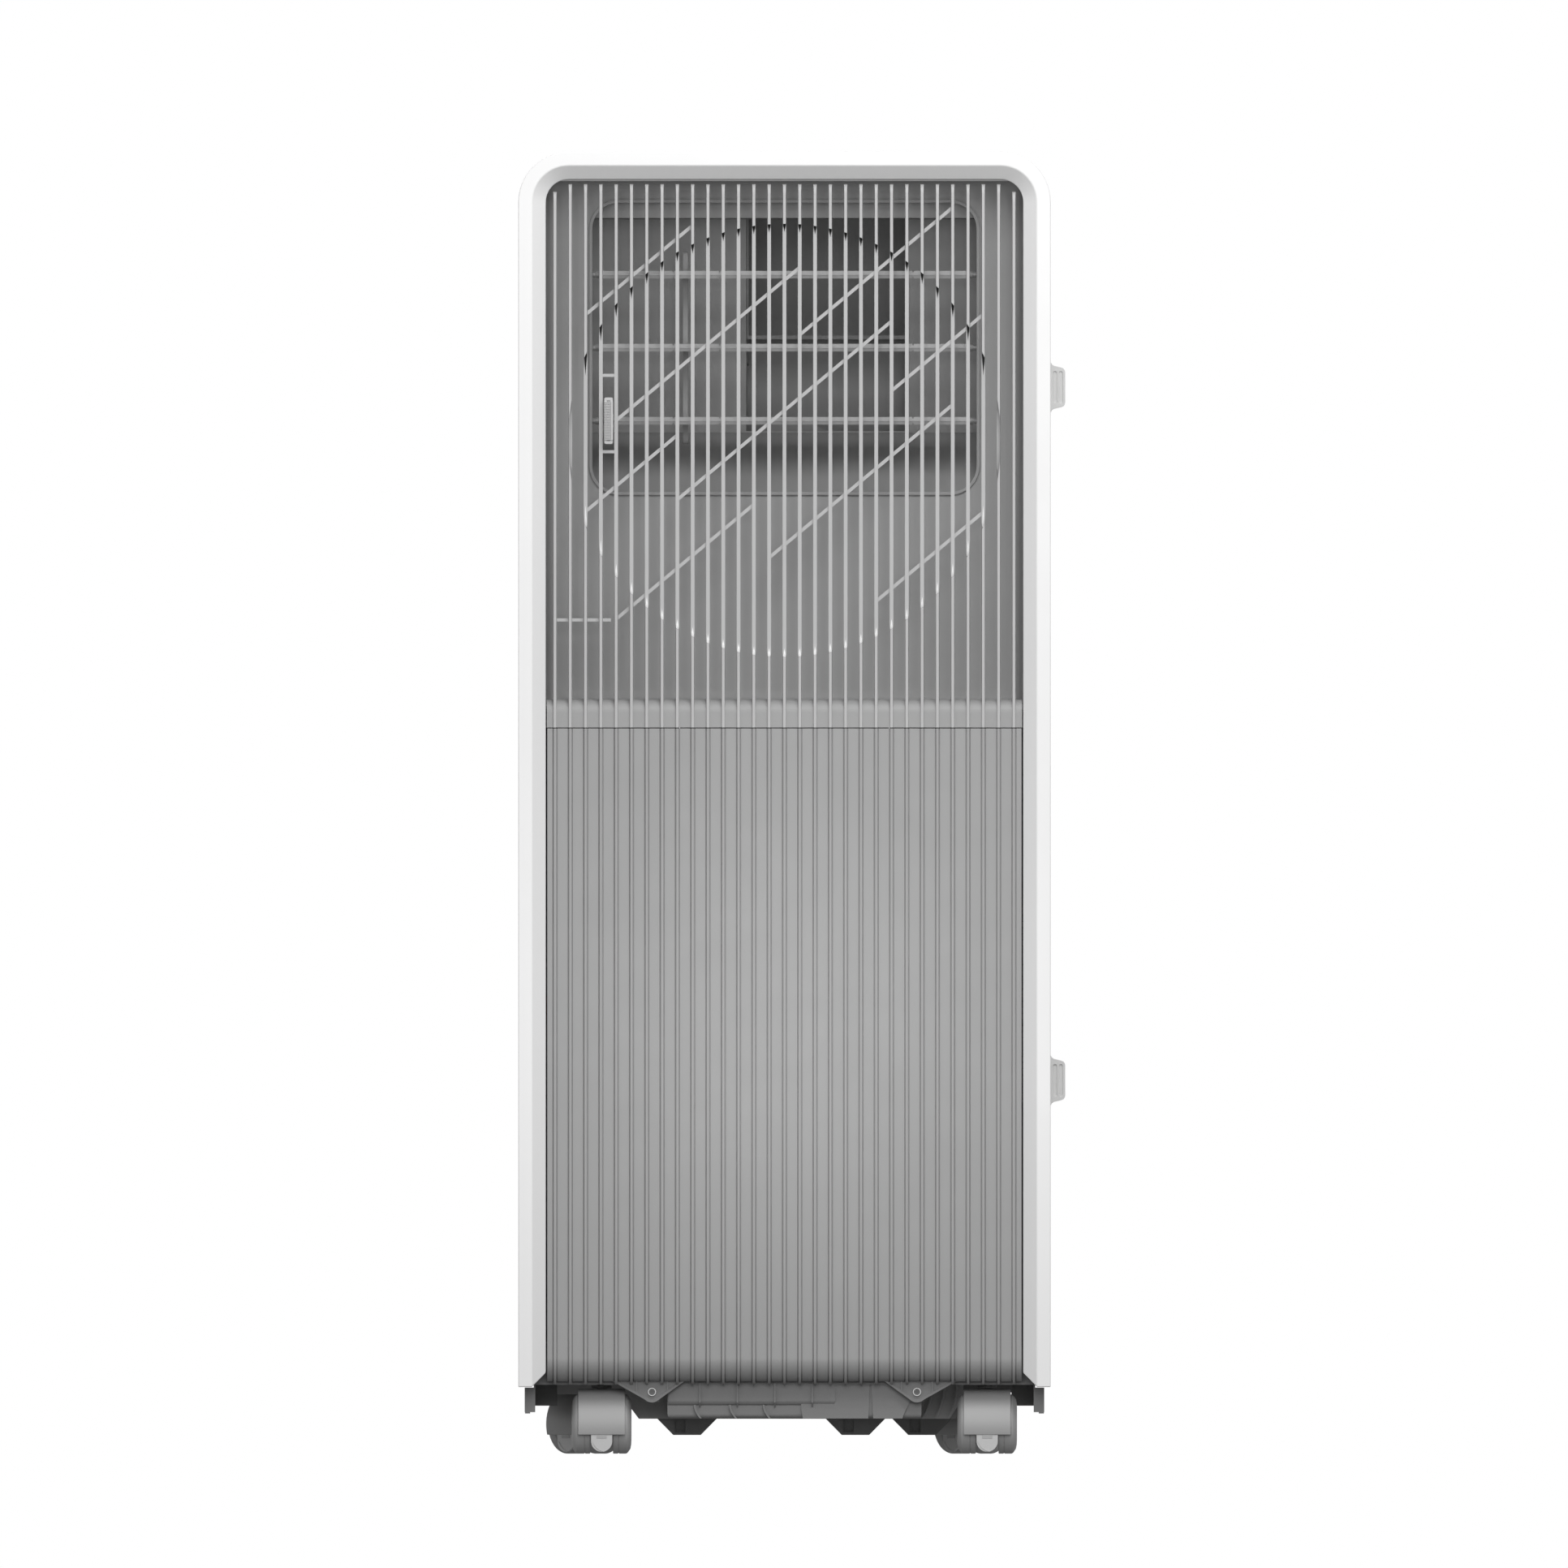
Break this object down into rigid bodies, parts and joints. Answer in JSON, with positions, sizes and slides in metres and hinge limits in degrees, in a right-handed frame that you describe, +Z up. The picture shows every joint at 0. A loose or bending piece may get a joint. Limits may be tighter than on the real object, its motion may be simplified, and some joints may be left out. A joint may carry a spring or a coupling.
{
  "type": "portable air conditioner",
  "caption": "Floor-standing portable air conditioner: white inverted-U casing, barred front grille over tilting louvers, fluted lower front, slide-out filters and twin-wheel casters.",
  "frame": {"origin": "centre of the bounding box at the floor, under the casters", "axes": "+Z up, the front grille faces -Y, +X is on the right of someone facing the front"},
  "size_m": [0.3574, 0.34, 0.8518],
  "materials": {
    "casing": "satin white",
    "grille": "satin mid grey",
    "inner": "matte grey",
    "base": "matte dark grey",
    "caster": "satin grey nylon",
    "louver": "satin grey",
    "knob": "satin light grey",
    "filter": "satin off-white",
    "fascia": "gloss black",
    "key": "satin light grey",
    "steel": "zinc plated",
    "compressor": "black enamel",
    "fins": "bare fins",
    "copper": "bare copper",
    "board": "green laminate"
  },
  "bodies": {
    "cabinet": {"outer_casing": "casing", "hand_grip_left": "inner", "hand_grip_right": "inner", "control_fascia": "fascia", "display_lens": "fascia", "control_board": "board", "front_grille": "grille", "lower_front_panel": "grille", "panel_screw_left": "steel", "panel_screw_right": "steel", "outlet_housing": "inner", "outlet_duct": "inner", "rear_cover": "casing", "exhaust_collar": "base", "cord_gland": "base", "base_pan": "base", "divider_tray": "inner", "upper_scroll": "inner", "upper_fan_motor": "steel", "evaporator_coil": "fins", "lower_scroll": "inner", "lower_fan_motor": "steel", "condenser_coil": "fins", "compressor": "compressor", "discharge_pipe": "copper", "suction_pipe": "copper", "control_box": "inner", "caster_front_left_stem": "steel", "caster_front_right_stem": "steel", "caster_rear_left_stem": "steel", "caster_rear_right_stem": "steel"},
    "key_power": {"key_power": "key"},
    "key_mode": {"key_mode": "key"},
    "key_fan_speed": {"key_fan_speed": "key"},
    "key_minus": {"key_minus": "key"},
    "key_plus": {"key_plus": "key"},
    "key_timer": {"key_timer": "key"},
    "louver_lower": {"louver_lower": "louver", "louver_knob": "knob"},
    "louver_middle": {"louver_middle": "louver"},
    "louver_upper": {"louver_upper": "louver"},
    "louver_link": {"louver_link": "louver"},
    "upper_filter": {"upper_filter": "filter"},
    "lower_filter": {"lower_filter": "filter"},
    "upper_blower": {"upper_blower_wheel": "base"},
    "lower_blower": {"lower_blower_wheel": "base"},
    "upper_drain_plug": {"upper_drain_plug": "base"},
    "lower_drain_plug": {"lower_drain_plug": "base"},
    "caster_front_left": {"caster_front_left_fork": "caster"},
    "caster_front_left_wheel_a": {"caster_front_left_wheel_a": "caster"},
    "caster_front_left_wheel_b": {"caster_front_left_wheel_b": "caster"},
    "caster_front_right": {"caster_front_right_fork": "caster"},
    "caster_front_right_wheel_a": {"caster_front_right_wheel_a": "caster"},
    "caster_front_right_wheel_b": {"caster_front_right_wheel_b": "caster"},
    "caster_rear_left": {"caster_rear_left_fork": "caster"},
    "caster_rear_left_wheel_a": {"caster_rear_left_wheel_a": "caster"},
    "caster_rear_left_wheel_b": {"caster_rear_left_wheel_b": "caster"},
    "caster_rear_right": {"caster_rear_right_fork": "caster"},
    "caster_rear_right_wheel_a": {"caster_rear_right_wheel_a": "caster"},
    "caster_rear_right_wheel_b": {"caster_rear_right_wheel_b": "caster"}
  },
  "joints": [
    {"name": "key_power_press", "type": "slide", "parent": "cabinet", "child": "key_power", "axis": [0, 0, -1], "range_m": [0, 0.001], "stiffness_N_per_m": 400},
    {"name": "key_mode_press", "type": "slide", "parent": "cabinet", "child": "key_mode", "axis": [0, 0, -1], "range_m": [0, 0.001], "stiffness_N_per_m": 400},
    {"name": "key_fan_speed_press", "type": "slide", "parent": "cabinet", "child": "key_fan_speed", "axis": [0, 0, -1], "range_m": [0, 0.001], "stiffness_N_per_m": 400},
    {"name": "key_minus_press", "type": "slide", "parent": "cabinet", "child": "key_minus", "axis": [0, 0, -1], "range_m": [0, 0.001], "stiffness_N_per_m": 400},
    {"name": "key_plus_press", "type": "slide", "parent": "cabinet", "child": "key_plus", "axis": [0, 0, -1], "range_m": [0, 0.001], "stiffness_N_per_m": 400},
    {"name": "key_timer_press", "type": "slide", "parent": "cabinet", "child": "key_timer", "axis": [0, 0, -1], "range_m": [0, 0.001], "stiffness_N_per_m": 400},
    {"name": "louver_lower_tilt", "type": "hinge", "parent": "cabinet", "child": "louver_lower", "pos_m": [-0.00475, -0.112, 0.6751], "axis": [-1, 0, 0], "range_deg": [-4, 16]},
    {"name": "louver_middle_tilt", "type": "hinge", "parent": "cabinet", "child": "louver_middle", "pos_m": [-0.00475, -0.112, 0.7229], "axis": [-1, 0, 0], "range_deg": [-4, 16]},
    {"name": "louver_upper_tilt", "type": "hinge", "parent": "cabinet", "child": "louver_upper", "pos_m": [-0.00475, -0.112, 0.7706], "axis": [-1, 0, 0], "range_deg": [-4, 16]},
    {"name": "louver_link_swing", "type": "hinge", "parent": "louver_lower", "child": "louver_link", "pos_m": [-0.06815, -0.096, 0.6751], "axis": [-1, 0, 0], "range_deg": [-16, 4]},
    {"name": "upper_filter_slide", "type": "slide", "parent": "cabinet", "child": "upper_filter", "axis": [1, 0, 0], "range_m": [0, 0.3]},
    {"name": "lower_filter_slide", "type": "slide", "parent": "cabinet", "child": "lower_filter", "axis": [1, 0, 0], "range_m": [0, 0.3]},
    {"name": "upper_blower_spin", "type": "hinge", "parent": "cabinet", "child": "upper_blower", "pos_m": [0.00025, 0.016, 0.64], "axis": [0, 1, 0], "continuous": true},
    {"name": "lower_blower_spin", "type": "hinge", "parent": "cabinet", "child": "lower_blower", "pos_m": [-0.01275, 0.035, 0.33], "axis": [0, 1, 0], "continuous": true},
    {"name": "upper_drain_plug_pull", "type": "slide", "parent": "cabinet", "child": "upper_drain_plug", "axis": [0, 1, 0], "range_m": [0, 0.03]},
    {"name": "lower_drain_plug_pull", "type": "slide", "parent": "cabinet", "child": "lower_drain_plug", "axis": [0, 1, 0], "range_m": [0, 0.03]},
    {"name": "caster_front_left_swivel", "type": "hinge", "parent": "cabinet", "child": "caster_front_left", "pos_m": [-0.12425, -0.105, 0.042], "axis": [0, 0, 1], "continuous": true},
    {"name": "caster_front_left_wheel_a_roll", "type": "hinge", "parent": "caster_front_left", "child": "caster_front_left_wheel_a", "pos_m": [-0.12425, -0.121, 0.01935], "axis": [1, 0, 0], "continuous": true},
    {"name": "caster_front_left_wheel_b_roll", "type": "hinge", "parent": "caster_front_left", "child": "caster_front_left_wheel_b", "pos_m": [-0.12425, -0.121, 0.01935], "axis": [1, 0, 0], "continuous": true},
    {"name": "caster_front_right_swivel", "type": "hinge", "parent": "cabinet", "child": "caster_front_right", "pos_m": [0.12775, -0.105, 0.042], "axis": [0, 0, 1], "continuous": true},
    {"name": "caster_front_right_wheel_a_roll", "type": "hinge", "parent": "caster_front_right", "child": "caster_front_right_wheel_a", "pos_m": [0.12775, -0.121, 0.01935], "axis": [1, 0, 0], "continuous": true},
    {"name": "caster_front_right_wheel_b_roll", "type": "hinge", "parent": "caster_front_right", "child": "caster_front_right_wheel_b", "pos_m": [0.12775, -0.121, 0.01935], "axis": [1, 0, 0], "continuous": true},
    {"name": "caster_rear_left_swivel", "type": "hinge", "parent": "cabinet", "child": "caster_rear_left", "pos_m": [-0.12425, 0.115, 0.042], "axis": [0, 0, 1], "continuous": true},
    {"name": "caster_rear_left_wheel_a_roll", "type": "hinge", "parent": "caster_rear_left", "child": "caster_rear_left_wheel_a", "pos_m": [-0.13432, 0.10257, 0.01935], "axis": [0.7771, -0.6293, 0], "continuous": true},
    {"name": "caster_rear_left_wheel_b_roll", "type": "hinge", "parent": "caster_rear_left", "child": "caster_rear_left_wheel_b", "pos_m": [-0.13432, 0.10257, 0.01935], "axis": [0.7771, -0.6293, 0], "continuous": true},
    {"name": "caster_rear_right_swivel", "type": "hinge", "parent": "cabinet", "child": "caster_rear_right", "pos_m": [0.12775, 0.115, 0.042], "axis": [0, 0, 1], "continuous": true},
    {"name": "caster_rear_right_wheel_a_roll", "type": "hinge", "parent": "caster_rear_right", "child": "caster_rear_right_wheel_a", "pos_m": [0.11768, 0.10257, 0.01935], "axis": [0.7771, -0.6293, 0], "continuous": true},
    {"name": "caster_rear_right_wheel_b_roll", "type": "hinge", "parent": "caster_rear_right", "child": "caster_rear_right_wheel_b", "pos_m": [0.11768, 0.10257, 0.01935], "axis": [0.7771, -0.6293, 0], "continuous": true}
  ],
  "couplings": [
    {"joint": "louver_middle_tilt", "follows": "louver_lower_tilt", "ratio": 1},
    {"joint": "louver_upper_tilt", "follows": "louver_lower_tilt", "ratio": 1},
    {"joint": "louver_link_swing", "follows": "louver_lower_tilt", "ratio": -1}
  ]
}
